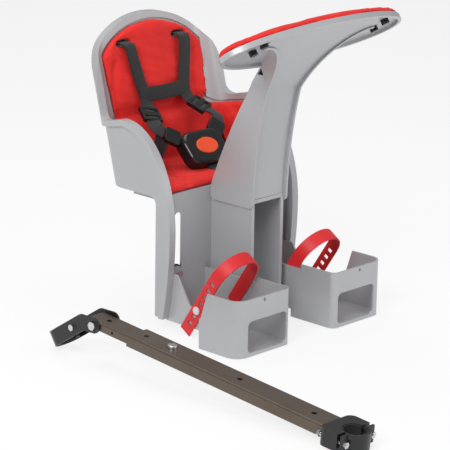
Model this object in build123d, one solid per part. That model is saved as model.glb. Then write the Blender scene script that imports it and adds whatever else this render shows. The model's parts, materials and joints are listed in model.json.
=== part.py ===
from build123d import *
import math
import os

os.makedirs("parts", exist_ok=True)

# Child bike seat with bumper post and its mounting bar, in millimetres.
# X is sideways (+X is the child's left), the child faces -Y, Z is up, and the
# origin is on the centre plane at the open underside of the pedestal.

# Shared sizes
wall = 4.0                     # moulded wall of bucket, pedestal and post
clear = 0.3                    # running clearance between separate pieces
far = 400.0                    # reach of cutting prisms, past every face

# Bucket: a U-shaped wall that leans back, trimmed by a side profile and an arch
bucket_half = 152.0            # outer half width
bucket_corner = 45.0           # plan radius of the two rear corners
recline = 14.7                 # lean of the back from upright, degrees
pan_z = 224.0                  # underside of the seat pan
back_y = 168.0                 # outer face of the back at pan_z
crown_z = 490.0                # top of the arched back
arch_spring_z = 375.0          # height where the arch starts
back_edge = 22.0               # depth of the upper back's turned edge
waist_z = 331.0                # dip between the back and the side wing
waist_fillet = 20.0
wing_top_y = 123.0             # highest point of the side wing
wing_top_z = 343.0
wing_front_y = 6.0             # foremost point of the leg guard
wing_front_z = 165.0
guard_foot_y = 21.0            # front of the leg guard at its foot
guard_foot_z = 18.0
guard_rear_y = 45.0            # rear edge of the leg guard
guard_fillet = 14.0
rim_band = 11.0                # width of the rolled rim
rim_out = 6.0                  # rim standing proud outside the wall
rim_in = 4.0                   # rim standing proud inside the wall

# Leg panels behind the calves, each with an upright adjusting slot
panel_y = 26.0                 # front face
panel_foot_z = 24.0
rib_rear_y = 112.0             # stiffening box under the pan, behind each leg panel
rib_drop = 9.0
rib_inset = 14.0
slot_x = bucket_half - 34      # the slot's distance from the seat's middle
slot_width = 18.0
slot_low_z = 78.0
slot_top_z = 196.0

# Shoulder strap slots in the back
strap_slot_x = 66.0
strap_slot_z = 446.0
strap_slot_width = 34.0
strap_slot_height = 9.0

# Pedestal: hollow channel that drops over the mounting bar
ped_half = 38.7
ped_front_y = -67.0
ped_rear_y = 76.0
ped_top_z = 219.5
ped_frame = 6.5                # light-edged frame round the front mouth
ped_frame_depth = 5.0

# Bumper post: two cheeks that flare into an oval tray tilted towards the child
cheek_half = 43.0
cheek_foot_z = 206.0
cheek_foot_fillet = 9.0
post_rear_y = 25.0             # rear edge of the cheeks at the pan
post_front_y = -72.0           # front edge of the cheeks at the foot
neck_front = (-97.0, 405.0)    # front edge of the neck below the flare, (y, z)
flare_z = 390.0                # height where the cheeks start to flare
flare_half = 132.0             # half width that the flare reaches under the tray
post_recess = 6.0              # front panel set back between the cheeks
tray_y = -154.0
tray_z = 503.0
tray_tilt = 34.5               # degrees, front edge raised
tray_half_length = 206.0
tray_half_width = 78.0
tray_plate = 4.0
tray_rim = 7.0
tray_rim_drop = 9.0
flare_bow = 8.0                # hollow of the front flare
neck_bow = 9.0                 # backward bow of the post's rear face
screw_radius = 2.5
screw_head = 3.0
post_screw_y = (-40.0, -4.0)
pan_screw_x = 20.0
pan_screw_y = 55.0
knob_x = tray_half_length - 60
knob_rows = (4.0, 32.0)       # along the tray, forward of its centre
knob_radius = 7.0
knob_height = 9.0
pad_inset = 1.5                # bumper pad inside the tray's edge
bumper_pad_thick = 12.0

# Footwells
well_inner_x = 53.0
well_outer_x = 181.0
well_front_y = -173.0
well_step_y = -77.0            # where the wide toe box meets the narrow heel
well_rim_z = 97.0
well_heel_z = 14.0             # underside of the heel part
well_wall = 3.5
well_corner = 24.0
notch_top = (-104.0, 2.0)      # strap notch in the outer wall, (front, rear) at the rim
notch_foot = (-88.0, -30.0)    # and at its foot
notch_low_z = 47.0
notch_round = 15.0
ledge_y = -98.0                # inner wall is lower behind this
ledge_z = 89.0
window_inner_x = 64.0
window_outer_x = 156.0
window_low_z = 6.0
window_top_z = 60.0
well_travel = 60.0             # height adjustment

# Foot straps
foot_strap_lean = 33.0         # the strap leans forward over the foot, degrees
stud_y = -45.0
stud_z = 43.0
stud_hole = 2
strap_rise = 75.0              # straight run above the stud
strap_tail = 45.0              # loose end below the stud
well_bolt_radius = 3.0
key_height = 24.0              # guide key in the leg panel slot
foot_strap_width = 24.0
foot_strap_thick = 3.0
strap_hole_count = 7

# Seat pad and harness
pad_thick = 13.0
web_width = 25.0
web_thick = 2.0
crotch_length = 34.0
chest_z = 346.0
strap_chest_x = 46.0           # the straps draw together at the chest strap
adjuster_share = 0.55          # along the lower run of the strap
adjuster_length = 34.0
adjuster_thick = 7.0
strap_tail_out = 14.0          # webbing behind the back
tongue_turn = 52.0             # the tongues enter the buckle's upper corners, degrees
tongue_width = 30.0
tongue_length = 30.0
tongue_thick = 9.0
buckle_y = 84.0
buckle_tilt = 47.0             # face turned towards the front, degrees
buckle_width = 92.0
buckle_length = 66.0
buckle_thick = 25.0
buckle_corner = 23.0
button_width = 48.0
button_length = 31.0
button_depth = 4.5
button_travel = 3.0

# Mounting bar, lying beside the seat on its two clamp ends
bar_x = -335.0
bar_y = -24.0                  # pivot of the seat post bracket
bar_pitch = 5.25               # degrees, rear end raised
tube_width = 46.0
tube_height = 20.0
tube_wall = 2.5
tube_rear = 76.0               # from the pivot forward to the outer tube's end
tube_front = 492.0
slider_rear = 20.0             # inner tube behind the pivot
slider_front = 215.0
bar_hole = 9.0
bar_hole_at = (97.0, 300.0, 452.0)
lock_at = 154.0
pivot_bolt = 8.0
plate_thick = 3.0
plate_height = 26.0
bracket_bend = (27.0, -3.0)    # (rearward, up) from the pivot
bracket_end = (85.0, -49.0)    # centre of the loop round the seat post
post_radius = 14.2             # seat post that the rear clamp holds
head_radius = 17.5             # head tube that the front clamp holds
head_liner = 2.5
head_plate = 4.0
head_gap = 6.0                 # between the front clamp's halves
head_stand = 20.0              # from the tube's end to the head tube's liner
head_tongue = 30.0             # part of the front clamp inside the tube
head_corner = 12.0
pinch_share = 0.35
lock_radius = 4.0
clamp_bolt = 6.0


def moved_bar(shape):
    """Places a piece that is modelled level at the bar's pivot."""
    return Location((bar_x, bar_y, pivot_z), (bar_pitch, 0, 0)) * shape


pitch = math.radians(bar_pitch)
slider_width = tube_width - 2 * tube_wall - 2 * clear
slider_height = tube_height - 2 * tube_wall - 2 * clear
loop_inner = slider_width / 2 + clear
loop_outer = loop_inner + plate_thick
bracket_run = Vector(bracket_end[0] - bracket_bend[0], bracket_end[1] - bracket_bend[1])
loop_reach = bracket_run.length
run_y = bracket_run.X / loop_reach
run_z = bracket_run.Y / loop_reach
# The bar rests on the lowest corner of the bracket's loop and on the front clamp
low_y = bracket_end[0] + run_y * loop_outer + run_z * plate_height / 2
low_z = bracket_end[1] + run_z * loop_outer - run_y * plate_height / 2
pivot_z = -low_y * math.sin(pitch) - low_z * math.cos(pitch)


def side_prism(face, half=far):
    """Extrudes a (y, z) outline across the seat."""
    return extrude(Plane.YZ * face, amount=half, both=True)


def front_prism(face, half=far):
    """Extrudes an (x, z) outline fore and aft."""
    return extrude(Plane.XZ * face, amount=half, both=True)


def block(x0, x1, y0, y1, z0, z1):
    return Pos((x0 + x1) / 2, (y0 + y1) / 2, (z0 + z1) / 2) * Box(x1 - x0, y1 - y0, z1 - z0)


def mirrored(shape):
    return mirror(shape, about=Plane.YZ)


slope = math.tan(math.radians(recline))


def back_at(z):
    """Outer face of the back at a height."""
    return back_y + slope * (z - pan_z)


def bowl(grow):
    """Leaning solid inside the bucket's outer face, grown by a margin."""
    depth = back_at(0) + far / 2 + grow
    plan = Pos(0, back_at(0) + grow - depth / 2) * Rectangle(2 * (bucket_half + grow), depth)
    plan = fillet(plan.vertices().sort_by(Axis.Y)[-2:], bucket_corner + grow)
    lean = Vector(0, slope, 1)
    return extrude(plan, amount=(crown_z + 30) * lean.length, dir=lean.normalized())


def side_region(inset):
    """Side profile of the bucket; the inset draws in its rim alone."""
    top_z = crown_z + 20
    waist = (back_at(waist_z) - back_edge + inset, waist_z - inset)
    wing_top = (wing_top_y, wing_top_z - inset)
    front = (wing_front_y + inset, wing_front_z)
    foot = (guard_foot_y + inset, guard_foot_z)
    edges = [
        Line((back_at(top_z) - back_edge + inset, top_z), waist),
        Line(waist, wing_top),
        EllipticalCenterArc((wing_top_y, wing_front_z), wing_top_y - front[0], wing_top[1] - wing_front_z,
                            start_angle=90, arc_size=90),
        TangentArc(front, foot, tangent=(0, -1)),
        Polyline(foot, (guard_rear_y, guard_foot_z), (guard_rear_y, pan_z), (far, pan_z), (far, top_z),
                 (back_at(top_z) - back_edge + inset, top_z)),
    ]
    face = make_face(Curve() + edges)
    corner = face.vertices().sort_by_distance(Vector(*waist))[0]
    face = fillet(corner, waist_fillet - inset / 2)
    knee = face.vertices().sort_by_distance(Vector(guard_rear_y, pan_z))[0]
    return fillet(knee, guard_fillet)


def arch_region(inset):
    """Front outline of the back; the inset draws in its arch alone."""
    crown = Pos(0, arch_spring_z) * Ellipse(bucket_half - inset, crown_z - arch_spring_z - inset)
    below = Pos(0, arch_spring_z - far / 2) * Rectangle(2 * far, far)
    return crown + below


def strap_slots(depth=far):
    slot = RectangleRounded(strap_slot_width, strap_slot_height, strap_slot_height * 0.45)
    pair = [Pos(side * strap_slot_x, strap_slot_z) * slot for side in (-1, 1)]
    return [extrude(Plane.XZ * one, amount=-depth) for one in pair]


def make_bucket():
    kept = side_prism(side_region(0)) & front_prism(arch_region(0))
    inner = side_prism(side_region(rim_band)) & front_prism(arch_region(rim_band))
    shell = (bowl(0) - bowl(-wall)) & kept
    rim = (bowl(rim_out) - bowl(-wall - rim_in)) & (kept - inner)
    pan = Pos(0, (panel_y + back_y) / 2) * Rectangle(2 * bucket_half - wall, back_y - panel_y)
    pan = fillet(pan.vertices().sort_by(Axis.Y)[-2:], bucket_corner)
    bucket = shell + rim + Pos(0, 0, pan_z) * extrude(pan, amount=wall)
    for side in (-1, 1):
        panel = block(ped_half + clear, bucket_half - wall / 2, panel_y, panel_y + wall, panel_foot_z, pan_z + wall)
        slot_height = slot_top_z - slot_low_z
        slot = Plane.XZ * Pos(slot_x, slot_low_z + slot_height / 2) * SlotOverall(slot_height, slot_width, 90)
        panel -= extrude(slot, amount=far, both=True)
        panel += block(ped_half + clear, bucket_half - rib_inset, panel_y, rib_rear_y, pan_z - rib_drop, pan_z + wall)
        bucket += panel if side > 0 else mirrored(panel)
    for side in (-1, 1):
        bucket -= Pos(side * pan_screw_x, pan_screw_y, pan_z) * Cylinder(screw_radius, 4 * wall)
        bucket -= Pos(side * pan_screw_x, pan_screw_y, pan_z + wall) * Cylinder(2 * screw_radius, wall)
    for slot in strap_slots():
        bucket -= slot
    return bucket


def make_pedestal():
    inside = ped_half - wall
    outer = block(-ped_half, ped_half, ped_front_y, ped_rear_y, 0, ped_top_z)
    hollow = block(-inside, inside, ped_front_y - 1, ped_rear_y - wall, -1, ped_top_z - wall)
    mouth = ped_half - ped_frame
    frame = block(-ped_half, ped_half, ped_front_y, ped_front_y + ped_frame_depth, 0, ped_top_z)
    frame -= block(-mouth, mouth, ped_front_y - 1, ped_front_y + far, -1, ped_top_z - ped_frame)
    tail = block(-mouth, mouth, ped_rear_y - 2 * wall, ped_rear_y + 1, -1, ped_top_z / 2)
    step = block(-ped_half, ped_half, panel_y + wall, ped_rear_y, ped_top_z - wall, pan_z)
    body = outer - hollow + frame - tail + step
    for y in post_screw_y:
        body -= Pos(0, y, ped_top_z) * Cylinder(screw_radius + clear / 2, 4 * wall)
    for side in (-1, 1):
        body -= Pos(side * pan_screw_x, pan_screw_y, pan_z) * Cylinder(screw_radius, 4 * wall)
    return body


# Bumper post, tray and its fittings
tilt = math.radians(tray_tilt)
tray_normal = Vector(0, math.sin(tilt), math.cos(tilt))
tray_plane = Plane(origin=(0, tray_y, tray_z), x_dir=(1, 0, 0), z_dir=tray_normal)


def tray_point(forward, drop=0.0):
    """(y, z) of a point on the tray's centre line, forward of its centre and below its top."""
    return (tray_y - forward * math.cos(tilt) - drop * math.sin(tilt),
            tray_z + forward * math.sin(tilt) - drop * math.cos(tilt))


def post_outline(inset):
    """Front outline of the post: upright cheeks that flare out to the tray's ends."""
    half = cheek_half - inset
    reach = flare_half - half
    rise = tray_z - flare_z + inset
    top = tray_z + 2 * tray_half_width
    right = EllipticalCenterArc((flare_half, flare_z), reach, rise, start_angle=90, arc_size=90)
    left = EllipticalCenterArc((-flare_half, flare_z), reach, rise, start_angle=0, arc_size=90)
    edges = [
        Polyline((-half, flare_z), (-half, cheek_foot_z), (half, cheek_foot_z), (half, flare_z)),
        right,
        Polyline((flare_half, flare_z + rise), (flare_half, top), (-flare_half, top),
                 (-flare_half, flare_z + rise)),
        left,
    ]
    return make_face(Curve() + edges)


def post_profile(rear, front):
    """Side profile of the post, drawn in from its rear and front edges."""
    seat_z = pan_z + wall
    rear_top = tray_point(-tray_half_width + rear, tray_plate / 2)
    front_top = tray_point(tray_half_width - wall - front, tray_plate / 2)
    rear_mid = ((post_rear_y + rear_top[0]) / 2 + neck_bow - rear, (seat_z + rear_top[1]) / 2)
    foot_front = (post_front_y + front, cheek_foot_z)
    neck = (neck_front[0] + front, neck_front[1])
    lower = TangentArc(foot_front, neck, tangent=(0, 1))
    flare_mid = ((neck[0] + front_top[0]) / 2 + flare_bow * 0.78, (neck[1] + front_top[1]) / 2 + flare_bow * 0.63)
    edges = [
        Polyline(foot_front, (post_rear_y - rear, cheek_foot_z), (post_rear_y - rear, seat_z)),
        ThreePointArc((post_rear_y - rear, seat_z), rear_mid, rear_top),
        Line(rear_top, front_top),
        ThreePointArc(front_top, flare_mid, neck),
        ThreePointArc(neck, lower @ 0.5, foot_front),
    ]
    return make_face(Curve() + edges)


def make_post():
    solid = front_prism(post_outline(0)) & side_prism(post_profile(0, 0))
    inside = front_prism(post_outline(wall))
    floor_z = ped_top_z + clear
    core = inside & side_prism(post_profile(wall, post_recess + wall))
    core &= block(-far, far, -far, far, floor_z + wall, 2 * far)
    recess = inside & (side_prism(post_profile(0, 0)) - side_prism(post_profile(0, post_recess)))
    saddle = block(-ped_half - clear, ped_half + clear, -far, far, 0, floor_z)
    solid = solid - core - recess - saddle
    feet = solid.edges().filter_by(Axis.X).group_by(Axis.Z)[0]
    solid = fillet(feet, cheek_foot_fillet)
    oval = Ellipse(tray_half_length, tray_half_width)
    hole = Ellipse(tray_half_length - tray_rim, tray_half_width - tray_rim)
    under_tray = extrude(tray_plane * hole, amount=far, dir=(0, 0, -1))
    under_tray += block(-cheek_half - wall, cheek_half + wall, -far, far, 0, tray_z)
    solid &= under_tray
    plate = extrude(tray_plane * oval, amount=-tray_plate)
    rim = extrude(tray_plane * (oval - hole), amount=-tray_rim_drop)
    solid = solid + plate + rim
    for y in post_screw_y:
        solid -= Pos(0, y, floor_z) * Cylinder(screw_radius + clear / 2, 2 * wall)
    return solid


def make_bumper_pad():
    oval = Ellipse(tray_half_length - pad_inset, tray_half_width - pad_inset)
    pad = extrude(tray_plane * oval, amount=bumper_pad_thick)
    top = pad.faces().sort_by(Axis((0, 0, 0), tuple(tray_normal)))[-1]
    return fillet(top.edges(), bumper_pad_thick * 0.45)


def make_knobs():
    knob = Pos(0, 0, -tray_plate - knob_height / 2) * Cylinder(knob_radius, knob_height)
    knob = fillet(knob.edges().sort_by(Axis.Z)[0], knob_radius * 0.25)
    places = [(side * knob_x, -row) for side in (-1, 1) for row in knob_rows]
    return Compound([tray_plane * Pos(x, y, 0) * knob for x, y in places])


def make_post_screws():
    under = ped_top_z - wall
    screw = Pos(0, 0, under - screw_head / 2) * Cylinder(2 * screw_radius, screw_head)
    length = 2 * wall + clear
    screw += Pos(0, 0, under + length / 2) * Cylinder(screw_radius, length)
    return Compound([Pos(0, y, 0) * screw for y in post_screw_y])


def make_pan_screws():
    top = pan_z + wall
    screw = Pos(0, 0, top - wall / 4) * Cylinder(2 * screw_radius, wall / 2)
    screw += Pos(0, 0, top - wall / 2 - 2 * wall / 2) * Cylinder(screw_radius, 2 * wall)
    return Compound([Pos(side * pan_screw_x, pan_screw_y, 0) * screw for side in (-1, 1)])


# Footwells, modelled on the child's left and mirrored
well_heel_x = bucket_half - wall - rim_in - clear
well_rear_y = panel_y - clear
key_z = slot_low_z + slot_width * 0.7


def well_plan():
    plan = Polygon((well_inner_x, well_front_y), (well_outer_x, well_front_y), (well_outer_x, well_step_y - 8),
                   (well_heel_x, well_step_y + 12), (well_heel_x, well_rear_y), (well_inner_x, well_rear_y),
                   align=None)
    outer = plan.vertices().sort_by_distance(Vector(well_outer_x, well_front_y))[0]
    plan = fillet(outer, well_corner)
    inner = plan.vertices().sort_by_distance(Vector(well_inner_x, well_front_y))[0]
    plan = fillet(inner, well_corner / 2)
    for x, y in ((well_outer_x, well_step_y - 8), (well_heel_x, well_step_y + 12)):
        step = plan.vertices().sort_by_distance(Vector(x, y))[0]
        plan = fillet(step, well_corner / 3)
    return plan


def make_footwell():
    plan = well_plan()
    inner = offset(plan, amount=-well_wall)
    body = extrude(plan, amount=well_rim_z)
    body -= block(-far, far, well_step_y, far, -1, well_heel_z)
    heel = Pos(0, 0, well_heel_z + well_wall) * extrude(inner, amount=far)
    toe = Pos(0, 0, well_wall) * extrude(inner, amount=far)
    toe &= block(-far, far, -far, well_step_y - well_wall, 0, far)
    body = body - heel - toe
    body -= block(0, well_inner_x + 2 * well_wall, ledge_y, well_rear_y - well_wall, ledge_z, far)
    notch = Polygon((notch_top[0], far), (notch_top[0], well_rim_z), (notch_foot[0], notch_low_z),
                    (notch_foot[1], notch_low_z), (notch_top[1], well_rim_z), (notch_top[1], far), align=None)
    notch = fillet(notch.vertices().group_by(Axis.Y)[0], notch_round)
    body -= extrude(Plane.YZ.offset(well_heel_x - 2 * well_wall) * notch, amount=far)
    wide = window_outer_x - window_inner_x
    high = window_top_z - window_low_z
    window = Pos((window_inner_x + window_outer_x) / 2, (window_low_z + window_top_z) / 2)
    window = extrude(Plane.XZ.offset(-well_front_y - well_corner / 2) * window * RectangleRounded(wide, high, 9), amount=far)
    body -= window
    key = SlotOverall(key_height, slot_width - 2 * clear, 90)
    body += extrude(Plane.XZ.offset(-well_rear_y) * Pos(slot_x, key_z) * key, amount=-wall)
    bolt = Plane.XZ * Pos(slot_x, key_z) * Circle(well_bolt_radius + clear / 2)
    body -= extrude(bolt, amount=far, both=True)
    return body


def make_well_bolt():
    inside = well_rear_y - well_wall
    head = extrude(Plane.XZ.offset(-inside) * Circle(2 * well_bolt_radius), amount=well_bolt_radius)
    shank = extrude(Plane.XZ.offset(-inside) * Circle(well_bolt_radius), amount=-(well_wall + wall + 12))
    return Pos(slot_x, 0, key_z) * (head + shank)


def make_well_knob():
    seat = panel_y + wall + clear
    washer = extrude(Plane.XZ.offset(-seat) * Circle(slot_width * 0.8), amount=-2)
    grip = extrude(Plane.XZ.offset(-seat - 2) * RegularPolygon(slot_width * 0.75, 6), amount=-10)
    knob = washer + grip
    knob -= extrude(Plane.XZ * Circle(well_bolt_radius + clear / 2), amount=-far)
    return Pos(slot_x, 0, key_z) * knob


strap_lean = math.radians(foot_strap_lean)
strap_plane = Plane(origin=(0, stud_y, stud_z), x_dir=(1, 0, 0),
                    z_dir=(0, -math.cos(strap_lean), -math.sin(strap_lean)))


def make_foot_strap():
    inner = well_inner_x + well_wall + clear
    outer = well_heel_x + clear
    radius = (outer + foot_strap_thick - inner) / 2
    middle = inner + radius

    def arch(grow):
        return Pos(middle, strap_rise) * Circle(radius + grow)

    upper = block_2d(inner, outer + foot_strap_thick, strap_rise, strap_rise + 2 * radius)
    ring = (arch(0) - arch(-foot_strap_thick)) & upper
    legs = block_2d(inner, inner + foot_strap_thick, 0, strap_rise)
    legs += block_2d(outer, outer + foot_strap_thick, -strap_tail, strap_rise)
    band = extrude(strap_plane * (ring + legs), amount=foot_strap_width / 2, both=True)
    step = (strap_rise + strap_tail * 0.7) / strap_hole_count
    for k in range(strap_hole_count):
        spot = strap_plane * Pos(outer, -strap_tail * 0.7 + (k + 0.5) * step, 0)
        band -= spot * Box(6 * foot_strap_thick, step * 0.45, foot_strap_width * 0.34)
    return band


def block_2d(x0, x1, y0, y1):
    return Pos((x0 + x1) / 2, (y0 + y1) / 2) * Rectangle(x1 - x0, y1 - y0)


def make_stud():
    outer = well_heel_x
    hole_pitch = (strap_rise + strap_tail * 0.7) / strap_hole_count
    stem = min(hole_pitch * 0.18, foot_strap_width * 0.15)
    stud = Cylinder(stem, foot_strap_thick + 2 * clear, rotation=(0, 90, 0))
    stud = Pos((foot_strap_thick + 2 * clear) / 2, 0, 0) * stud
    cap = Pos(foot_strap_thick + 2 * clear + 1.5, 0, 0) * Cylinder(2.6 * stem, 3, rotation=(0, 90, 0))
    nearest = -strap_tail * 0.7 + (stud_hole + 0.5) * hole_pitch
    return strap_plane * Pos(outer, nearest, 0) * (stud + cap)


# Soft goods and harness
buckle_turn = math.radians(buckle_tilt)
buckle_drop = buckle_length / 2 * math.sin(buckle_turn) + buckle_thick / 2 * math.cos(buckle_turn)
buckle_toe = buckle_length / 2 * math.cos(buckle_turn) - buckle_thick / 2 * math.sin(buckle_turn)
buckle_z = pan_z + wall + pad_thick + 2 * clear + buckle_drop
buckle_plane = Plane(origin=(0, buckle_y, buckle_z), x_dir=(1, 0, 0),
                     z_dir=(0, -math.sin(buckle_turn), math.cos(buckle_turn)))


tongue_plane = buckle_plane * Location((buckle_width / 2 - buckle_corner, buckle_length / 2 - buckle_corner, 0),
                                       (0, 0, -tongue_turn))


def make_seat_pad():
    kept = side_prism(side_region(rim_band + 3)) & front_prism(arch_region(rim_band + 3))
    kept &= block(-far, far, panel_y, far, pan_z + wall, 2 * far)
    lining = (bowl(-wall - clear) - bowl(-wall - pad_thick)) & kept
    base = bowl(-wall - clear) & block(-far, far, panel_y + 4, far, pan_z + wall + clear, pan_z + wall + pad_thick)
    pad = lining + base
    for slot in strap_slots():
        pad -= slot
    return pad


def band_between(start, end):
    """Flat webbing from one point to another, its width across the seat."""
    run = end - start
    flat = Vector(1, 0, 0) - run.normalized() * run.normalized().X
    plane = Plane(origin=(start + end) * 0.5, x_dir=flat, z_dir=run.cross(flat))
    return plane * Box(web_width, run.length, web_thick)


def pad_front(z):
    return back_at(z) - wall - pad_thick - clear - web_thick / 2


def strap_chest():
    """Where a shoulder strap leaves the back for the buckle."""
    return Vector(strap_chest_x, pad_front(chest_z), chest_z)


def strap_low():
    """Where a shoulder strap meets its buckle tongue."""
    return (tongue_plane * Pos(0, buckle_corner + tongue_length + web_width / 2, 0)).position


def make_shoulder_strap():
    top = Vector(strap_slot_x, pad_front(strap_slot_z), strap_slot_z)
    strap = band_between(top, strap_chest()) + band_between(strap_chest(), strap_low())
    through = block(strap_slot_x - web_width / 2, strap_slot_x + web_width / 2, pad_front(strap_slot_z),
                    back_at(strap_slot_z) + strap_tail_out, strap_slot_z - web_thick, strap_slot_z + web_thick)
    return strap + through


def make_strap_stop():
    behind = back_at(strap_slot_z) + clear + 3
    stop = block(strap_slot_x - 21, strap_slot_x + 21, behind, behind + 3, strap_slot_z - 9, strap_slot_z + 9)
    stop -= block(strap_slot_x - web_width / 2 - clear, strap_slot_x + web_width / 2 + clear, behind - 1, behind + 9,
                  strap_slot_z - web_thick - clear, strap_slot_z + web_thick + clear)
    return stop


def make_buckle():
    body = Box(buckle_width, buckle_length, buckle_thick)
    body = fillet(body.edges().filter_by(Axis.Z), buckle_corner)
    body = fillet(body.faces().sort_by(Axis.Z)[-1].edges(), buckle_thick * 0.32)
    well = Pos(0, 0, buckle_thick / 2 - button_travel - button_depth + clear)
    body -= well * extrude(Ellipse(button_width / 2 + clear, button_length / 2 + clear), amount=buckle_thick)
    return buckle_plane * body


def make_button():
    base = Pos(0, 0, buckle_thick / 2 - button_depth + 2 * clear)
    button = base * extrude(Ellipse(button_width / 2, button_length / 2), amount=button_depth)
    return buckle_plane * fillet(button.edges().sort_by(Axis.Z)[-1], button_depth / 3)


def make_tongue():
    tab = Box(tongue_width, tongue_length, tongue_thick)
    tab = fillet(tab.edges().filter_by(Axis.Z), tongue_width * 0.2)
    return tongue_plane * Pos(0, buckle_corner + clear + tongue_length / 2, 0) * tab


def make_adjuster():
    run = strap_chest() - strap_low()
    spot = strap_low() + run * adjuster_share
    flat = Vector(1, 0, 0) - run.normalized() * run.normalized().X
    plane = Plane(origin=spot, x_dir=flat, z_dir=run.cross(flat))
    ladder = Box(web_width + 10, adjuster_length, adjuster_thick)
    for side in (-1, 1):
        ladder -= Pos(0, side * adjuster_length / 4, 0) * Box(web_width + 1, adjuster_length / 5, 2 * adjuster_thick)
    ladder -= Box(web_width + 2 * clear, 2 * adjuster_length, web_thick + 2 * clear)
    return plane * ladder


def make_chest_strap():
    z = chest_z + web_width / 2 + web_thick
    y = pad_front(z) - (web_thick + clear) / math.cos(math.radians(recline))
    length = 2 * strap_chest_x + web_width
    return Location((0, y, z), (-recline, 0, 0)) * Box(length, web_thick, web_width)


def make_lap_strap():
    top = pan_z + wall + pad_thick + clear + web_thick / 2
    return block(buckle_width / 2 + 4, bucket_half - wall - pad_thick - 4, buckle_y + 20, buckle_y + 20 + web_width,
                 top - web_thick / 2, top + web_thick / 2)


def make_crotch_strap():
    top = pan_z + wall + pad_thick + clear
    end = buckle_y - buckle_toe - web_thick
    return block(-web_width / 2, web_width / 2, end - crotch_length, end, top, top + web_thick)


# Mounting bar, modelled level with its pivot at the origin and the front towards -Y
head_at = tube_front + head_stand + head_radius + head_liner


def tube(width, height, thick, front, rear):
    outer = block(-width / 2, width / 2, -front, -rear, -height / 2, height / 2)
    outer = fillet(outer.edges().filter_by(Axis.Y), thick * 1.2)
    inside = block(-width / 2 + thick, width / 2 - thick, -front - 1, -rear + 1, -height / 2 + thick, height / 2 - thick)
    return outer - inside


def make_bar_tube():
    bar = tube(tube_width, tube_height, tube_wall, tube_front, tube_rear)
    for at in bar_hole_at:
        bar -= Pos(0, -at, tube_height / 2) * Cylinder(bar_hole / 2, 2 * tube_height / 2 + 2 * tube_wall)
    bar -= Pos(0, -lock_at, tube_height / 2) * Cylinder(lock_radius + clear / 2, 4 * tube_wall)
    return bar


def make_slider():
    bar = tube(slider_width, slider_height, tube_wall * 0.8, slider_front, -slider_rear)
    bar -= Cylinder(pivot_bolt / 2 + clear / 2, 2 * tube_width, rotation=(0, 90, 0))
    bar -= Pos(0, -12, slider_height / 2) * Cylinder(bar_hole / 2, slider_height)
    bar -= Pos(0, -40, 0) * Cylinder(bar_hole / 4, 2 * tube_width, rotation=(0, 90, 0))
    return bar


def make_lock_screw():
    top = tube_height / 2
    shank = block_z(lock_radius, top - tube_wall + 0.0, top)
    head = block_z(2 * lock_radius, top, top + lock_radius * 1.4)
    head = fillet(head.edges().sort_by(Axis.Z)[-1], lock_radius * 0.5)
    return Pos(0, -lock_at, 0) * (shank + head)


def block_z(radius, z0, z1):
    return Pos(0, 0, (z0 + z1) / 2) * Cylinder(radius, z1 - z0)


def bracket_frame():
    """Plane along the bracket's second run: x across, y rearward along it, z up from it."""
    return Plane(origin=(0, *bracket_bend), x_dir=(1, 0, 0), z_dir=(0, -run_z, run_y))


def make_bracket():
    ear = make_hull((Pos(0, 0) * Circle(plate_height / 2) + Pos(*bracket_bend) * Circle(plate_height / 2)).edges())
    arms = extrude(Plane.YZ * ear, amount=loop_outer, both=True) - extrude(Plane.YZ * ear, amount=loop_inner, both=True)
    frame = bracket_frame()
    loop = block_2d(-loop_outer, loop_outer, 0, loop_reach) + Pos(0, loop_reach) * Circle(loop_outer)
    loop -= block_2d(-loop_inner, loop_inner, -1, loop_reach) + Pos(0, loop_reach) * Circle(loop_inner)
    loop = extrude(frame * loop, amount=plate_height / 2, both=True)
    bracket = arms + loop
    bracket -= Cylinder(pivot_bolt / 2 + clear / 2, far, rotation=(0, 90, 0))
    pinch = frame * Pos(0, loop_reach * pinch_share, 0) * Cylinder(clamp_bolt / 2 + clear / 2, far, rotation=(0, 90, 0))
    return bracket - pinch


def make_post_liner():
    ring = Circle(loop_inner - clear / 2) - Circle(post_radius)
    ring -= block_2d(-3, 3, -loop_inner - 1, 0)
    return extrude(bracket_frame() * Pos(0, loop_reach) * ring, amount=plate_height / 2 - 1, both=True)


def cross_bolt(radius, half, head):
    """Bolt across the bar: hexagon head at -X and nut at +X."""
    bolt = Cylinder(radius, 2 * half + 2 * head, rotation=(0, 90, 0))
    for side in (-1, 1):
        hexagon = extrude(Plane.YZ * RegularPolygon(1.9 * radius, 6), amount=head)
        bolt += Pos(half if side > 0 else -half - head, 0, 0) * hexagon
    return bolt


def make_pivot_bolt():
    return cross_bolt(pivot_bolt / 2, loop_outer + clear, pivot_bolt * 0.6)


def make_pinch_bolt():
    spot = bracket_frame() * Pos(0, loop_reach * pinch_share, 0)
    return spot * cross_bolt(clamp_bolt / 2, loop_outer, clamp_bolt * 0.7)


head_bore = head_radius + head_liner + clear / 2
ear_x = head_bore + head_plate + clamp_bolt
head_half = (pivot_z - (head_at + head_bore + head_plate) * math.sin(pitch)) / math.cos(pitch)


def make_head_block():
    block_front = head_at - head_gap / 2
    body = block(-ear_x - clamp_bolt, ear_x + clamp_bolt, -block_front, -tube_front, -head_half, head_half)
    half_width = tube_width / 2 - tube_wall - clear
    half_height = tube_height / 2 - tube_wall - clear
    tongue = block(-half_width, half_width, -tube_front, -tube_front + head_tongue, -half_height, half_height)
    body = fillet(body.edges().filter_by(Axis.Z).sort_by(Axis.Y)[-2:], head_corner)
    body += tongue
    body -= Pos(0, -head_at, 0) * Cylinder(head_bore, far)
    for side in (-1, 1):
        body -= Pos(side * ear_x, -head_at, 0) * Cylinder(clamp_bolt / 2 + clear / 2, far, rotation=(90, 0, 0))
    return body


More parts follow.
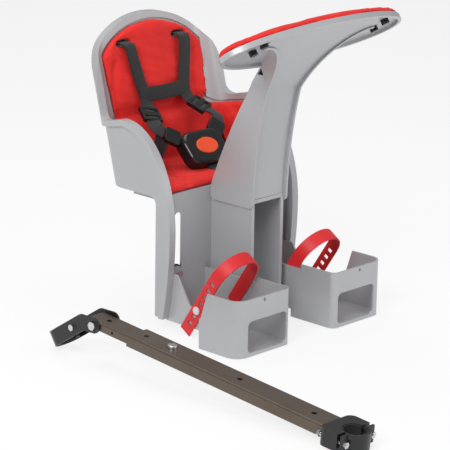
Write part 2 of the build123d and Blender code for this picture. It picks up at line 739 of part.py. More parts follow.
def make_head_strap():
    outer = head_bore + head_plate
    front = -head_at - head_gap / 2
    half_ring = (Circle(outer) - Circle(head_bore)) & block_2d(-outer, outer, -outer, -head_gap / 2)
    ears = block_2d(-ear_x - clamp_bolt, ear_x + clamp_bolt, -head_gap / 2 - head_plate, -head_gap / 2)
    ears -= Circle(head_bore)
    strap = Pos(0, -head_at, -head_half) * extrude(half_ring + ears, amount=2 * head_half)
    for side in (-1, 1):
        strap -= Pos(side * ear_x, front, 0) * Cylinder(clamp_bolt / 2 + clear / 2, 4 * head_plate, rotation=(90, 0, 0))
    return strap


def make_head_liner():
    ring = Circle(head_bore - clear / 2) - Circle(head_radius)
    ring -= block_2d(head_radius - 1, head_bore + 1, -head_gap / 2, head_gap / 2)
    return Pos(0, -head_at, -head_half + 1) * extrude(ring, amount=2 * head_half - 2)


def make_head_bolts():
    rear = -tube_front
    front = -head_at - head_gap / 2 - head_plate
    bolt = extrude(Plane.XZ.offset(-rear) * Circle(clamp_bolt / 2), amount=rear - front + clamp_bolt)
    head = extrude(Plane.XZ.offset(-rear) * RegularPolygon(clamp_bolt * 0.9, 6), amount=-clamp_bolt * 0.7)
    nut = extrude(Plane.XZ.offset(-front) * RegularPolygon(clamp_bolt * 0.9, 6), amount=clamp_bolt * 0.8)
    return Compound([Pos(side * ear_x, 0, 0) * (bolt + head + nut) for side in (-1, 1)])


nodes = {}
nodes["seat_bucket"] = make_bucket()
nodes["pedestal"] = make_pedestal()
nodes["pan_screws"] = make_pan_screws()
nodes["bumper_post"] = make_post()
nodes["post_screws"] = make_post_screws()
nodes["bumper_pad"] = make_bumper_pad()
nodes["bumper_knobs"] = make_knobs()
nodes["seat_pad"] = make_seat_pad()
nodes["chest_strap"] = make_chest_strap()
nodes["crotch_strap"] = make_crotch_strap()
nodes["buckle_body"] = make_buckle()
nodes["buckle_button"] = make_button()
for maker, label in ((make_footwell, "footwell"), (make_well_bolt, "footwell_bolt"), (make_well_knob, "footwell_knob"),
                     (make_foot_strap, "foot_strap"), (make_stud, "foot_strap_stud"),
                     (make_shoulder_strap, "shoulder_strap"), (make_strap_stop, "strap_stop"),
                     (make_adjuster, "strap_adjuster"), (make_lap_strap, "lap_strap"), (make_tongue, "buckle_tongue")):
    piece = maker()
    nodes[label + "_left"] = piece
    nodes[label + "_right"] = mirrored(piece)
for maker, label in ((make_bar_tube, "bar_tube"), (make_slider, "bar_slider"), (make_lock_screw, "bar_lock_screw"),
                     (make_bracket, "post_bracket"), (make_post_liner, "post_liner"), (make_pivot_bolt, "pivot_bolt"),
                     (make_pinch_bolt, "pinch_bolt"), (make_head_block, "head_block"), (make_head_strap, "head_strap"),
                     (make_head_liner, "head_liner"), (make_head_bolts, "head_bolts")):
    nodes[label] = moved_bar(maker())

for name, shape in nodes.items():
    export_step(shape, f"parts/{name}.step")
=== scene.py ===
import json
import math

import bmesh
import bpy
from mathutils import Matrix, Vector, noise

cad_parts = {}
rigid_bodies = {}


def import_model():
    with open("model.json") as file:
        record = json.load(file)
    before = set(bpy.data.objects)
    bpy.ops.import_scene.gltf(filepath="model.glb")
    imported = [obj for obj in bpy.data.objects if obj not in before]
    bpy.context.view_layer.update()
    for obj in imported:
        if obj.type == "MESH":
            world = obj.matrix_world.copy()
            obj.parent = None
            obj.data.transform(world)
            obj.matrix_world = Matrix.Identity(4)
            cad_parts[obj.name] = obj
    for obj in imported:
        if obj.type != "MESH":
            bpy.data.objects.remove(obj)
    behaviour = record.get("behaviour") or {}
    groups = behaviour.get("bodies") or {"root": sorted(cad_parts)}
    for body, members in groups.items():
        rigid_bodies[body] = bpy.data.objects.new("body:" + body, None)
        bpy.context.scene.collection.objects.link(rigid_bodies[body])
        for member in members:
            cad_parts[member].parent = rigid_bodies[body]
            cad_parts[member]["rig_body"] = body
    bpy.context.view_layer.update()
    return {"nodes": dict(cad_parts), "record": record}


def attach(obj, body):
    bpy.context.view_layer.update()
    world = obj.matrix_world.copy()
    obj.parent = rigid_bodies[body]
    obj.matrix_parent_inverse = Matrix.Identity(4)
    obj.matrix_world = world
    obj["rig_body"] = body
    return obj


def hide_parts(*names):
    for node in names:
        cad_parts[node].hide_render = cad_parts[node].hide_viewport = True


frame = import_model()
nodes = frame["nodes"]
scene = bpy.context.scene
scene.view_settings.view_transform = "Standard"
print("frame loaded:", len(nodes), "nodes")


# Materials

def startMaterial(name):
    material = bpy.data.materials.new(name)
    material.use_nodes = True
    tree = material.node_tree
    shader = tree.nodes["Principled BSDF"]
    coords = tree.nodes.new("ShaderNodeTexCoord")
    return material, tree, shader, coords


def addNoise(tree, coords, scale, detail=4.0, rough=0.5, stretch=None):
    source = coords.outputs["Object"]
    if stretch:
        mapping = tree.nodes.new("ShaderNodeMapping")
        mapping.inputs["Scale"].default_value = stretch
        tree.links.new(source, mapping.inputs["Vector"])
        source = mapping.outputs["Vector"]
    node = tree.nodes.new("ShaderNodeTexNoise")
    node.inputs["Scale"].default_value = scale
    node.inputs["Detail"].default_value = detail
    node.inputs["Roughness"].default_value = rough
    tree.links.new(source, node.inputs["Vector"])
    return node.outputs["Fac"]


def addRamp(tree, fac, stops):
    ramp = tree.nodes.new("ShaderNodeValToRGB")
    for spot, stop in enumerate(stops):
        if spot > 1:
            ramp.color_ramp.elements.new(stop[0])
        element = ramp.color_ramp.elements[spot]
        element.position = stop[0]
        element.color = (*stop[1], 1.0)
    tree.links.new(fac, ramp.inputs["Fac"])
    return ramp.outputs["Color"]


def addRange(tree, fac, low, high):
    spread = tree.nodes.new("ShaderNodeMapRange")
    spread.inputs["To Min"].default_value = low
    spread.inputs["To Max"].default_value = high
    tree.links.new(fac, spread.inputs["Value"])
    return spread.outputs["Result"]


def addBump(tree, shader, height, strength, distance, after=None):
    bump = tree.nodes.new("ShaderNodeBump")
    bump.inputs["Strength"].default_value = strength
    bump.inputs["Distance"].default_value = distance
    tree.links.new(height, bump.inputs["Height"])
    if after:
        tree.links.new(after, bump.inputs["Normal"])
    tree.links.new(bump.outputs["Normal"], shader.inputs["Normal"])
    return bump.outputs["Normal"]


def shade(color, factor):
    return tuple(min(1.0, c * factor) for c in color)


plasticSet = {"cloud": 9.0, "stops": (0.3, 0.7), "roughSpread": 0.05, "coatRoughness": 0.2, "bump": 0.35}


def mouldedPlastic(name, color, roughness, metallic, grain, grainDepth, drift, coat=0.0):
    s = plasticSet
    material, tree, shader, coords = startMaterial(name)
    cloud = addNoise(tree, coords, s["cloud"], 3.0)
    low, high = s["stops"]
    tint = addRamp(tree, cloud, [(low, shade(color, 1 - drift)), (high, shade(color, 1 + drift))])
    tree.links.new(tint, shader.inputs["Base Color"])
    fine = addNoise(tree, coords, grain, 2.0)
    rough = addRange(tree, fine, roughness - s["roughSpread"], roughness + s["roughSpread"])
    tree.links.new(rough, shader.inputs["Roughness"])
    shader.inputs["Metallic"].default_value = metallic
    shader.inputs["Coat Weight"].default_value = coat
    shader.inputs["Coat Roughness"].default_value = s["coatRoughness"]
    addBump(tree, shader, fine, s["bump"], grainDepth)
    return material


steelSet = {"streak": 500.0, "stretch": (1.0, 1.0, 6.0), "stops": (0.25, 0.75), "dark": 0.82,
            "smoother": 0.08, "rougher": 0.1, "bump": 0.2, "bumpDepth": 0.00005}


def brushedSteel(name, color, roughness):
    s = steelSet
    material, tree, shader, coords = startMaterial(name)
    streak = addNoise(tree, coords, s["streak"], 3.0, 0.6, s["stretch"])
    low, high = s["stops"]
    tint = addRamp(tree, streak, [(low, shade(color, s["dark"])), (high, color)])
    tree.links.new(tint, shader.inputs["Base Color"])
    rough = addRange(tree, streak, roughness - s["smoother"], roughness + s["rougher"])
    tree.links.new(rough, shader.inputs["Roughness"])
    shader.inputs["Metallic"].default_value = 1.0
    addBump(tree, shader, streak, s["bump"], s["bumpDepth"])
    return material


def addMix(tree, scaled, share, added):
    mix = tree.nodes.new("ShaderNodeMath")
    mix.operation = "MULTIPLY_ADD"
    mix.inputs[1].default_value = share
    tree.links.new(scaled, mix.inputs[0])
    tree.links.new(added, mix.inputs[2])
    return mix.outputs["Value"]


padClothSet = {
    "cloud": 22.0, "nap": 1300.0, "napShare": 0.35, "stops": (0.42, 0.92), "shades": (0.80, 1.12),
    "roughness": 0.88, "sheen": 0.1, "sheenRoughness": 0.4, "sheenTint": (1.0, 0.45, 0.4, 1.0),
    "crease": 95.0, "creaseBump": 0.28, "creaseDepth": 0.0025, "napBump": 0.5, "napDepth": 0.0004,
}


def padCloth(name, color):
    s = padClothSet
    material, tree, shader, coords = startMaterial(name)
    cloud = addNoise(tree, coords, s["cloud"], 5.0, 0.62)
    nap = addNoise(tree, coords, s["nap"], 3.0, 0.7)
    mixed = addMix(tree, nap, s["napShare"], cloud)
    tint = addRamp(tree, mixed, [(at, shade(color, k)) for at, k in zip(s["stops"], s["shades"])])
    tree.links.new(tint, shader.inputs["Base Color"])
    shader.inputs["Roughness"].default_value = s["roughness"]
    shader.inputs["Sheen Weight"].default_value = s["sheen"]
    shader.inputs["Sheen Roughness"].default_value = s["sheenRoughness"]
    shader.inputs["Sheen Tint"].default_value = s["sheenTint"]
    crease = addNoise(tree, coords, s["crease"], 4.0, 0.55)
    first = addBump(tree, shader, crease, s["creaseBump"], s["creaseDepth"])
    addBump(tree, shader, nap, s["napBump"], s["napDepth"], first)
    return material


def addBands(tree, coords, direction, scale):
    mapping = tree.nodes.new("ShaderNodeMapping")
    mapping.inputs["Scale"].default_value = scale
    tree.links.new(coords.outputs["UV"], mapping.inputs["Vector"])
    wave = tree.nodes.new("ShaderNodeTexWave")
    wave.wave_type = "BANDS"
    wave.bands_direction = direction
    wave.inputs["Scale"].default_value = 1.0
    tree.links.new(mapping.outputs["Vector"], wave.inputs["Vector"])
    return wave


webSet = {
    "ribs": 190.0, "threads": 260.0, "waver": 0.4, "waverScale": 3.0,
    "stops": (0.0, 0.8), "shades": (0.45, 1.0),
    "roughness": 0.62, "sheen": 0.12, "bump": 0.6, "bumpDepth": 0.0005,
}


def webCloth(name, color):
    s = webSet
    material, tree, shader, coords = startMaterial(name)
    rib = addBands(tree, coords, "Y", (1.0, s["ribs"], 1.0))
    rib.inputs["Distortion"].default_value = s["waver"]
    rib.inputs["Detail Scale"].default_value = s["waverScale"]
    thread = addBands(tree, coords, "X", (s["threads"], 1.0, 1.0))
    weave = tree.nodes.new("ShaderNodeMath")
    weave.operation = "MULTIPLY"
    tree.links.new(rib.outputs["Fac"], weave.inputs[0])
    tree.links.new(thread.outputs["Fac"], weave.inputs[1])
    woven = weave.outputs["Value"]
    tint = addRamp(tree, woven, [(at, shade(color, k)) for at, k in zip(s["stops"], s["shades"])])
    tree.links.new(tint, shader.inputs["Base Color"])
    shader.inputs["Roughness"].default_value = s["roughness"]
    shader.inputs["Sheen Weight"].default_value = s["sheen"]
    addBump(tree, shader, woven, s["bump"], s["bumpDepth"])
    return material


paintSet = {
    "flake": 2600.0, "cloud": 14.0, "cloudShare": 0.4, "stops": (0.45, 0.95), "shades": (0.72, 1.3),
    "metallic": 0.55, "roughSpread": 0.06, "coatRoughness": 0.25, "bump": 0.15, "bumpDepth": 0.00006,
}


def flakePaint(name, color, roughness, coat):
    s = paintSet
    material, tree, shader, coords = startMaterial(name)
    flake = addNoise(tree, coords, s["flake"], 2.0, 0.8)
    cloud = addNoise(tree, coords, s["cloud"], 4.0)
    mixed = addMix(tree, cloud, s["cloudShare"], flake)
    tint = addRamp(tree, mixed, [(at, shade(color, k)) for at, k in zip(s["stops"], s["shades"])])
    tree.links.new(tint, shader.inputs["Base Color"])
    shader.inputs["Metallic"].default_value = s["metallic"]
    rough = addRange(tree, cloud, roughness - s["roughSpread"], roughness + s["roughSpread"])
    tree.links.new(rough, shader.inputs["Roughness"])
    shader.inputs["Coat Weight"].default_value = coat
    shader.inputs["Coat Roughness"].default_value = s["coatRoughness"]
    addBump(tree, shader, flake, s["bump"], s["bumpDepth"])
    return material


finishes = {
    "shell_silver": mouldedPlastic("shellSilver", (0.47, 0.475, 0.49), 0.40, 0.25, 900.0, 0.00008, 0.03,
                                   coat=0.15),
    "pad_red": padCloth("padRed", (0.78, 0.022, 0.018)),
    "webbing_black": webCloth("webbingBlack", (0.020, 0.020, 0.022)),
    "plastic_black": mouldedPlastic("plasticBlack", (0.010, 0.010, 0.011), 0.24, 0.0, 700.0, 0.00005, 0.1),
    "button_orange": mouldedPlastic("buttonOrange", (0.88, 0.085, 0.022), 0.28, 0.0, 700.0, 0.00004, 0.04),
    "strap_red": mouldedPlastic("strapRed", (0.74, 0.020, 0.025), 0.42, 0.0, 800.0, 0.00006, 0.06),
    "stud_white": mouldedPlastic("studWhite", (0.70, 0.70, 0.71), 0.28, 0.1, 700.0, 0.00004, 0.03),
    "bar_bronze": flakePaint("barBronze", (0.115, 0.085, 0.062), 0.36, 0.3),
    "steel_black": mouldedPlastic("steelBlack", (0.012, 0.012, 0.013), 0.36, 0.0, 1400.0, 0.0001, 0.1),
    "rubber_black": mouldedPlastic("rubberBlack", (0.016, 0.016, 0.017), 0.68, 0.0, 500.0, 0.00015, 0.15),
    "zinc_steel": brushedSteel("zincSteel", (0.72, 0.73, 0.74), 0.26),
}
slotOf = {sub["node"]: sub["material_slot"] for sub in frame["record"]["subparts"]}
print("materials made:", len(finishes))


def dress(obj, slotName):
    obj.data.materials.clear()
    obj.data.materials.append(finishes[slotName])


for nodeName, node in nodes.items():
    dress(node, slotOf[nodeName])


# Camera and light

cameraSet = {
    "target": (0.0, 0.0, 0.275),
    "distance": 3.9757,
    "azimuth": -46.89,
    "elevation": 14.38,
    "roll": 1.10,
    "focal": 2365.85,          # pixels over the photo's width
    "frame": 450.0,
    "offset": (14.36, -67.89),
    "sensor": 36.0,
    "clip": (0.1, 30.0),
}


def makeCamera(s):
    az, el, roll = (math.radians(s[k]) for k in ("azimuth", "elevation", "roll"))
    back = Vector((math.sin(az) * math.cos(el), -math.cos(az) * math.cos(el), math.sin(el)))
    right = Vector((math.cos(az), math.sin(az), 0.0))
    up = back.cross(right)
    turnedRight = right * math.cos(roll) + up * math.sin(roll)
    turnedUp = up * math.cos(roll) - right * math.sin(roll)
    place = Vector(s["target"]) + back * s["distance"]
    slide, lift = (pixels / s["focal"] for pixels in s["offset"])
    ahead = -back - turnedRight * slide + turnedUp * lift
    newBack = -ahead.normalized()
    newRight = turnedUp.cross(newBack).normalized()
    newUp = newBack.cross(newRight)
    data = bpy.data.cameras.new("photoCamera")
    data.sensor_width = s["sensor"]
    data.lens = s["focal"] / s["frame"] * data.sensor_width
    data.clip_start, data.clip_end = s["clip"]
    camera = bpy.data.objects.new("photoCamera", data)
    camera.matrix_world = Matrix((
        (newRight.x, newUp.x, newBack.x, place.x),
        (newRight.y, newUp.y, newBack.y, place.y),
        (newRight.z, newUp.z, newBack.z, place.z),
        (0.0, 0.0, 0.0, 1.0)))
    scene.collection.objects.link(camera)
    scene.camera = camera


lightSet = {
    "key": {"place": (-2.3, -0.9, 1.9), "size": 1.3, "power": 48.0},
    "fill": {"place": (1.2, -2.4, 1.1), "size": 1.8, "power": 16.0},
    "top": {"place": (0.2, 0.5, 2.6), "size": 2.0, "power": 27.0},
    "aim": (0.0, -0.05, 0.25),
    "worldGrey": 0.8,
    "worldStrength": 0.42,
}


def makeLights(s):
    for name in ("key", "fill", "top"):
        data = bpy.data.lights.new(name, "AREA")
        data.energy = s[name]["power"]
        data.size = s[name]["size"]
        lamp = bpy.data.objects.new(name, data)
        lamp.location = s[name]["place"]
        toward = Vector(s["aim"]) - lamp.location
        lamp.rotation_euler = toward.to_track_quat("-Z", "Y").to_euler()
        scene.collection.objects.link(lamp)
    world = bpy.data.worlds.new("studioWorld")
    scene.world = world
    world.use_nodes = True
    tree = world.node_tree
    background = tree.nodes["Background"]
    background.inputs["Color"].default_value = (s["worldGrey"],) * 3 + (1.0,)
    background.inputs["Strength"].default_value = s["worldStrength"]
    plain = tree.nodes.new("ShaderNodeBackground")
    plain.inputs["Color"].default_value = (1.0, 1.0, 1.0, 1.0)
    rays = tree.nodes.new("ShaderNodeLightPath")
    mix = tree.nodes.new("ShaderNodeMixShader")
    tree.links.new(rays.outputs["Is Camera Ray"], mix.inputs["Fac"])
    tree.links.new(background.outputs["Background"], mix.inputs[1])
    tree.links.new(plain.outputs["Background"], mix.inputs[2])
    tree.links.new(mix.outputs["Shader"], tree.nodes["World Output"].inputs["Surface"])


floorSet = {"size": 14.0, "color": (0.93, 0.93, 0.935), "drop": 0.0014, "white": 0.8, "roughness": 0.9,
            "specular": 0.1}


def makeFloor(s):
    mesh = bpy.data.meshes.new("floor")
    bm = bmesh.new()
    bmesh.ops.create_grid(bm, x_segments=1, y_segments=1, size=s["size"] / 2)
    bmesh.ops.translate(bm, verts=bm.verts, vec=(0, 0, -s["drop"]))
    bm.to_mesh(mesh)
    bm.free()
    floor = bpy.data.objects.new("floor", mesh)
    scene.collection.objects.link(floor)
    material = bpy.data.materials.new("paleFloor")
    material.use_nodes = True
    tree = material.node_tree
    shader = tree.nodes["Principled BSDF"]
    shader.inputs["Base Color"].default_value = (*s["color"], 1.0)
    shader.inputs["Roughness"].default_value = s["roughness"]
    shader.inputs["Specular IOR Level"].default_value = s["specular"]
    glow = tree.nodes.new("ShaderNodeEmission")
    rays = tree.nodes.new("ShaderNodeLightPath")
    seen = rays.outputs["Is Camera Ray"]
    for other in ("Is Glossy Ray", "Is Transmission Ray"):
        either = tree.nodes.new("ShaderNodeMath")
        either.operation = "MAXIMUM"
        tree.links.new(seen, either.inputs[0])
        tree.links.new(rays.outputs[other], either.inputs[1])
        seen = either.outputs["Value"]
    part = tree.nodes.new("ShaderNodeMath")
    part.operation = "MULTIPLY"
    part.inputs[1].default_value = s["white"]
    tree.links.new(seen, part.inputs[0])
    mix = tree.nodes.new("ShaderNodeMixShader")
    tree.links.new(part.outputs["Value"], mix.inputs["Fac"])
    tree.links.new(shader.outputs["BSDF"], mix.inputs[1])
    tree.links.new(glow.outputs["Emission"], mix.inputs[2])
    tree.links.new(mix.outputs["Shader"], tree.nodes["Material Output"].inputs["Surface"])
    mesh.materials.append(material)


makeCamera(cameraSet)
makeLights(lightSet)
makeFloor(floorSet)
print("camera, lights and floor set")


# Rounded edges on the rigid pieces

edgeRound = {
    "seat_bucket": 0.0016,
    "pedestal": 0.0014,
    "bumper_post": 0.0014,
    "footwell_left": 0.0016,
    "footwell_right": 0.0016,
    "bumper_knobs": 0.0012,
    "buckle_body": 0.0012,
    "buckle_button": 0.0006,
    "strap_adjuster_left": 0.0009,
    "strap_adjuster_right": 0.0009,
    "strap_stop_left": 0.0006,
    "strap_stop_right": 0.0006,
    "buckle_tongue_left": 0.0008,
    "buckle_tongue_right": 0.0008,
    "foot_strap_left": 0.0007,
    "foot_strap_right": 0.0007,
    "foot_strap_stud_left": 0.0008,
    "foot_strap_stud_right": 0.0008,
    "footwell_knob_left": 0.0010,
    "footwell_knob_right": 0.0010,
    "bar_tube": 0.0012,
    "bar_slider": 0.0010,
    "post_bracket": 0.0008,
    "post_liner": 0.0005,
    "head_block": 0.0012,
    "head_strap": 0.0008,
    "head_liner": 0.0005,
}
roundSet = {"merge": 0.00001, "flat": 0.6, "sharp": 28.0, "segments": 2}


def roundedCopy(nodeName, width, s):
    mesh = nodes[nodeName].data.copy()
    mesh.name = nodeName + "Round"
    bm = bmesh.new()
    bm.from_mesh(mesh)
    bmesh.ops.remove_doubles(bm, verts=bm.verts, dist=s["merge"])
    bmesh.ops.dissolve_limit(bm, angle_limit=math.radians(s["flat"]), verts=bm.verts, edges=bm.edges,
                             delimit={"NORMAL"})
    sharp = math.radians(s["sharp"])
    edges = [e for e in bm.edges if e.is_manifold and e.calc_face_angle(0.0) > sharp]
    bmesh.ops.bevel(bm, geom=edges, offset=width, offset_type="OFFSET", affect="EDGES",
                    segments=s["segments"], profile=0.5, material=-1, clamp_overlap=True, loop_slide=True)
    bmesh.ops.triangulate(bm, faces=[f for f in bm.faces if len(f.verts) > 4])
    bm.to_mesh(mesh)
    count = len(bm.faces)
    bm.free()
    for polygon in mesh.polygons:
        polygon.use_smooth = True
    piece = bpy.data.objects.new(nodeName + "Round", mesh)
    scene.collection.objects.link(piece)
    normals = piece.modifiers.new("evenShading", "WEIGHTED_NORMAL")
    normals.keep_sharp = True
    dress(piece, slotOf[nodeName])
    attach(piece, nodes[nodeName]["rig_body"])
    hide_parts(nodeName)
    return count


for nodeName, width in edgeRound.items():
    print("rounded", nodeName, roundedCopy(nodeName, width, roundSet), "faces")


# Padded pieces, swelled as cloth

def copyOfNode(nodeName, name):
    mesh = nodes[nodeName].data.copy()
    mesh.name = name
    piece = bpy.data.objects.new(name, mesh)
    scene.collection.objects.link(piece)
    return piece


def applyModifiers(piece):
    graph = bpy.context.evaluated_depsgraph_get()
    mesh = bpy.data.meshes.new_from_object(piece.evaluated_get(graph))
    piece.modifiers.clear()
    piece.data = mesh


def evenMesh(piece, voxel):
    bm = bmesh.new()
    bm.from_mesh(piece.data)
    bmesh.ops.remove_doubles(bm, verts=bm.verts, dist=roundSet["merge"])
    bm.to_mesh(piece.data)
    bm.free()
    remesh = piece.modifiers.new("evenCloth", "REMESH")
    remesh.mode = "VOXEL"
    remesh.voxel_size = voxel
    applyModifiers(piece)


def shrinkToVoxels(piece, voxel, inset, shows):
    evenMesh(piece, voxel)
    bm = bmesh.new()
    bm.from_mesh(piece.data)
    bm.normal_update()
    front = [v for v in bm.verts if shows(v)]
    moved = [(v, v.co - v.normal * inset) for v in front]
    for v, spot in moved:
        v.co = spot
    bmesh.ops.smooth_vert(bm, verts=front, factor=0.5, use_axis_x=True, use_axis_y=True, use_axis_z=True)
    bm.to_mesh(piece.data)
    bm.free()


def swell(piece, s, shows):
    before = [(v.co.copy(), v.normal.copy()) for v in piece.data.vertices]
    held = piece.vertex_groups.new(name="heldBack")      # the side against the shell stays where it is
    held.add([v.index for v in piece.data.vertices if not shows(v)], 1.0, "REPLACE")
    cloth = piece.modifiers.new("padCloth", "CLOTH")
    cloth.settings.vertex_group_mass = "heldBack"
    cloth.settings.use_pressure = True
    cloth.settings.uniform_pressure_force = s["pressure"]
    cloth.settings.quality = s["quality"]
    cloth.settings.tension_stiffness = s["stretch"]
    cloth.settings.compression_stiffness = s["stretch"]
    cloth.settings.effector_weights.gravity = 0.0
    cloth.point_cache.frame_start = 1
    cloth.point_cache.frame_end = s["frames"]
    for step in range(1, s["frames"] + 1):
        scene.frame_set(step)
    applyModifiers(piece)
    scene.frame_set(1)
    for v, (old, normal) in zip(piece.data.vertices, before):
        rise = min(max((v.co - old).dot(normal), 0.0), s["cap"])
        v.co = old + normal * rise


def finishPad(piece, nodeName):
    sub = piece.modifiers.new("softSurface", "SUBSURF")
    sub.levels = sub.render_levels = 1
    for polygon in piece.data.polygons:
        polygon.use_smooth = True
    dress(piece, slotOf[nodeName])
    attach(piece, nodes[nodeName]["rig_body"])
    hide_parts(nodeName)


seatPadSet = {
    "fineVoxel": 0.0016, "voxel": 0.0042, "inset": 0.0012,
    "pressure": 4.0, "stretch": 18.0, "frames": 20, "quality": 5, "cap": 0.006,
    "sitY": 0.03, "sitZ": 0.34, "levelZ": 0.30, "facing": 0.12,     # the seated side faces this spot
    "backY": 0.168, "backZ": 0.224, "backLean": 0.2624,             # outer face of the shell's back
    "upperZ": 0.315, "upperBlend": 0.03, "upperDepth": 0.0165,
    "frontGap": 0.018, "panFrom": 0.05, "panShare": 0.4,           # folds are flatter on the pan
    "ripple": 0.0016, "rippleSize": 0.028, "rippleTall": 1.6,
    "fold": 0.0030, "foldLevel": 0.375, "foldSpread": 0.055,        # loose folds across the back
    "foldAcross": 16.0, "foldUp": 75.0, "foldSkew": 22.0, "foldSlice": 4.0,
    "pleat": 0.0042, "pleatWidth": 0.006, "pleatX": 0.094,          # where the back turns into the sides
    "pleatSway": 0.012, "pleatTurn": 30.0, "pleatTop": 0.42, "pleatTopShare": 0.3,
}


def seatSide(v):
    s = seatPadSet
    inward = Vector((-v.co.x, s["sitY"] - v.co.y, s["sitZ"] - min(v.co.z, s["levelZ"]))).normalized()
    return v.normal.dot(inward) > s["facing"]


def backDepth(co, s):
    return s["backY"] + s["backLean"] * (co.z - s["backZ"]) - co.y


def foldPush(co, s):
    share = s["panShare"] if backDepth(co, s) - s["frontGap"] > s["panFrom"] else 1.0
    size = s["rippleSize"]
    wave = noise.noise(Vector((co.x / size, co.y / size, co.z / (s["rippleTall"] * size))))
    near = math.exp(-((co.z - s["foldLevel"]) / s["foldSpread"]) ** 2)
    climb = co.z * s["foldUp"] + co.x * s["foldSkew"]
    crease = noise.noise(Vector((co.x * s["foldAcross"], climb, s["foldSlice"])))
    push = (s["ripple"] * wave + s["fold"] * near * crease) * share
    pleat = s["pleat"] * (1.0 if co.z < s["pleatTop"] else s["pleatTopShare"])
    for middle in (-s["pleatX"], s["pleatX"]):
        bend = middle + s["pleatSway"] * math.sin(co.z * s["pleatTurn"])
        push -= pleat * math.exp(-((co.x - bend) / s["pleatWidth"]) ** 2)
    return push


def padFolds(piece, s):
    for v in piece.data.vertices:
        if seatSide(v):
            v.co += v.normal * foldPush(v.co, s)


def makeSeatPad(s):
    pad = copyOfNode("seat_pad", "seatPadCover")
    evenMesh(pad, s["fineVoxel"])
    for v in pad.data.vertices:         # the upper back is thicker once it is stuffed
        depth = backDepth(v.co, s)
        share = min(max((v.co.z - s["upperZ"]) / s["upperBlend"], 0.0), 1.0)
        if seatSide(v) and depth < s["upperDepth"]:
            v.co.y -= (s["upperDepth"] - depth) * share
    shrinkToVoxels(pad, s["voxel"], s["inset"], seatSide)
    swell(pad, s, seatSide)
    padFolds(pad, s)
    finishPad(pad, "seat_pad")
    print("seat pad:", len(pad.data.polygons), "faces")


makeSeatPad(seatPadSet)

bumperPadSet = {
    "voxel": 0.005, "inset": 0.0015,
    "pressure": 4.0, "stretch": 20.0, "frames": 20, "quality": 5, "cap": 0.004,
    "ripple": 0.0007, "rippleSize": 0.05, "tilt": 34.5, "facing": -0.25,
}


def makeBumperPad(s):
    tilt = math.radians(s["tilt"])
    upward = Vector((0.0, math.sin(tilt), math.cos(tilt)))

    def topSide(v):
        return v.normal.dot(upward) > s["facing"]

    pad = copyOfNode("bumper_pad", "bumperPadCover")
    shrinkToVoxels(pad, s["voxel"], s["inset"], topSide)
    swell(pad, s, topSide)
    for v in pad.data.vertices:
        if topSide(v):
            v.co += v.normal * s["ripple"] * noise.noise(v.co / s["rippleSize"])
    finishPad(pad, "bumper_pad")
    print("bumper pad:", len(pad.data.polygons), "faces")


makeBumperPad(bumperPadSet)


# Webbing, bands swept along their own lines

def bandLine(points, steps):
    curve = bpy.data.curves.new("bandLine", "CURVE")
    curve.dimensions = "3D"
    curve.resolution_u = steps
    spline = curve.splines.new("NURBS")
    spline.points.add(len(points) - 1)
    for spot, point in zip(spline.points, points):
        spot.co = (*point, 1.0)
    spline.order_u = 3
    spline.use_endpoint_u = True
    holder = bpy.data.objects.new("bandLine", curve)
    line = bpy.data.meshes.new_from_object(holder)
    route = [v.co.copy() for v in line.vertices]
    bpy.data.objects.remove(holder)
    bpy.data.curves.remove(curve)
    bpy.data.meshes.remove(line)
    return route


def makeBand(name, points, across, s, slotName):
    width, rows = s["width"], s["rows"]
    route = bandLine(points, s["steps"])
    sides = []

    def spotOn(at, row):
        side, face = sides[at]
        bow = s["curl"] * (2 * row / rows - 1) ** 2
        return route[at] + side * width * (row / rows - 0.5) + face * bow

    for at in range(len(route)):
        share = at / (len(route) - 1) * (len(across) - 1)
        low = min(int(share), len(across) - 2)
        side = Vector(across[low]).lerp(Vector(across[low + 1]), share - low)
        ahead = route[min(at + 1, len(route) - 1)] - route[max(at - 1, 0)]
        ahead.normalize()
        side = (side - ahead * side.dot(ahead)).normalized()
        sides.append((side, side.cross(ahead)))
    bm = bmesh.new()
    layer = bm.loops.layers.uv.new("weave")
    strip = [bm.verts.new(spotOn(0, row)) for row in range(rows + 1)]
    edges = [bm.edges.new((a, b)) for a, b in zip(strip, strip[1:])]
    travelled = 0.0
    for at in range(1, len(route)):
        gain = (route[at] - route[at - 1]).length
        grown = bmesh.ops.extrude_edge_only(bm, edges=edges)["geom"]
        fresh = [v for v in grown if isinstance(v, bmesh.types.BMVert)]
        fresh.sort(key=lambda v: (v.co - route[at - 1]).dot(sides[at - 1][0]))
        for row, v in enumerate(fresh):
            v.co = spotOn(at, row)
        edges = [e for e in grown if isinstance(e, bmesh.types.BMEdge)
                 and all(v in fresh for v in e.verts)]
        spots = {v: (row / rows * width, travelled + gain) for row, v in enumerate(fresh)}
        for face in {f for v in fresh for f in v.link_faces}:
            for loop in face.loops:
                if loop.vert in spots:
                    loop[layer].uv = spots[loop.vert]
                else:
                    offset = (loop.vert.co - route[at - 1]).dot(sides[at - 1][0]) + width / 2
                    loop[layer].uv = (offset, travelled)
        travelled += gain
    mesh = bpy.data.meshes.new(name)
    bm.to_mesh(mesh)
    bm.free()
    for polygon in mesh.polygons:
        polygon.use_smooth = True
    piece = bpy.data.objects.new(name, mesh)
    scene.collection.objects.link(piece)
    wall = piece.modifiers.new("webThickness", "SOLIDIFY")
    wall.thickness = s["thick"]
    wall.offset = 0.0
    edge = piece.modifiers.new("softEdge", "BEVEL")
    edge.width = s["thick"] * s["edgeShare"]
    edge.segments = 2
    edge.limit_method = "ANGLE"
    dress(piece, slotName)
    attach(piece, "seat")
    return piece


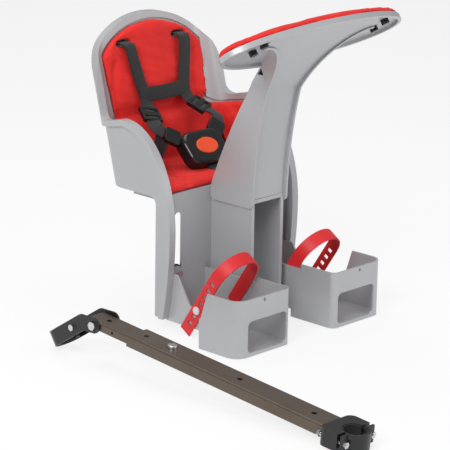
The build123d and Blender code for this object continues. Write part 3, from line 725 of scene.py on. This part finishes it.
harnessSet = {
    "width": 0.025, "thick": 0.0018, "curl": 0.0008, "edgeShare": 0.3, "steps": 10, "rows": 6,
    "shoulder": [(0.066, 0.238, 0.4468), (0.066, 0.212, 0.4468), (0.0655, 0.199, 0.4475),
                 (0.0635, 0.1935, 0.430), (0.056, 0.187, 0.394), (0.047, 0.1795, 0.358),
                 (0.0475, 0.172, 0.343), (0.0589, 0.1525, 0.3306), (0.071, 0.131, 0.3205),
                 (0.0735, 0.120, 0.3130), (0.0655, 0.1135, 0.3075)],
    "shoulderAcross": [(1, 0, 0), (1, 0, 0), (1, -0.05, 0.1), (1, 0, 0.2), (1, 0, 0.15), (0.9, 0.25, 0.15),
                       (0.8, -0.2, -0.3), (0.616, -0.537, -0.576)],
    "chest": [(-0.0585, 0.1785, 0.3600), (-0.030, 0.1765, 0.3590), (0.0, 0.1760, 0.3585),
              (0.030, 0.1765, 0.3590), (0.0585, 0.1785, 0.3600)],
    "chestAcross": [(0, 0.253, 0.967), (0, 0.253, 0.967)],
    "lap": [(0.1285, 0.1165, 0.2452), (0.110, 0.1165, 0.2462), (0.088, 0.1165, 0.2520),
            (0.076, 0.1160, 0.2740), (0.0665, 0.1145, 0.3020)],
    "lapAcross": [(0, 1, 0), (0, 1, 0), (0.2, 0.9, -0.2), (0.5, 0.6, -0.5)],
    "crotch": [(0.0, 0.0680, 0.2555), (0.0, 0.0590, 0.2475), (0.0, 0.0470, 0.2445), (0.0, 0.0340, 0.2440)],
    "crotchAcross": [(1, 0, 0), (1, 0, 0)],
}


def makeHarness(s):
    def put(label, line, across, side, *replaced):
        points = [(side * x, y, z) for x, y, z in line]
        spans = [(x, side * y, side * z) for x, y, z in across]
        band = makeBand(label, points, spans, s, "webbing_black")
        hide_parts(*replaced)

    for side, word in ((1, "left"), (-1, "right")):
        put("shoulderWebbing_" + word, s["shoulder"], s["shoulderAcross"], side, "shoulder_strap_" + word)
        put("lapWebbing_" + word, s["lap"], s["lapAcross"], side, "lap_strap_" + word)
    put("chestWebbing", s["chest"], s["chestAcross"], 1, "chest_strap")
    put("crotchWebbing", s["crotch"], s["crotchAcross"], 1, "crotch_strap")
    print("harness webbing made")


makeHarness(harnessSet)
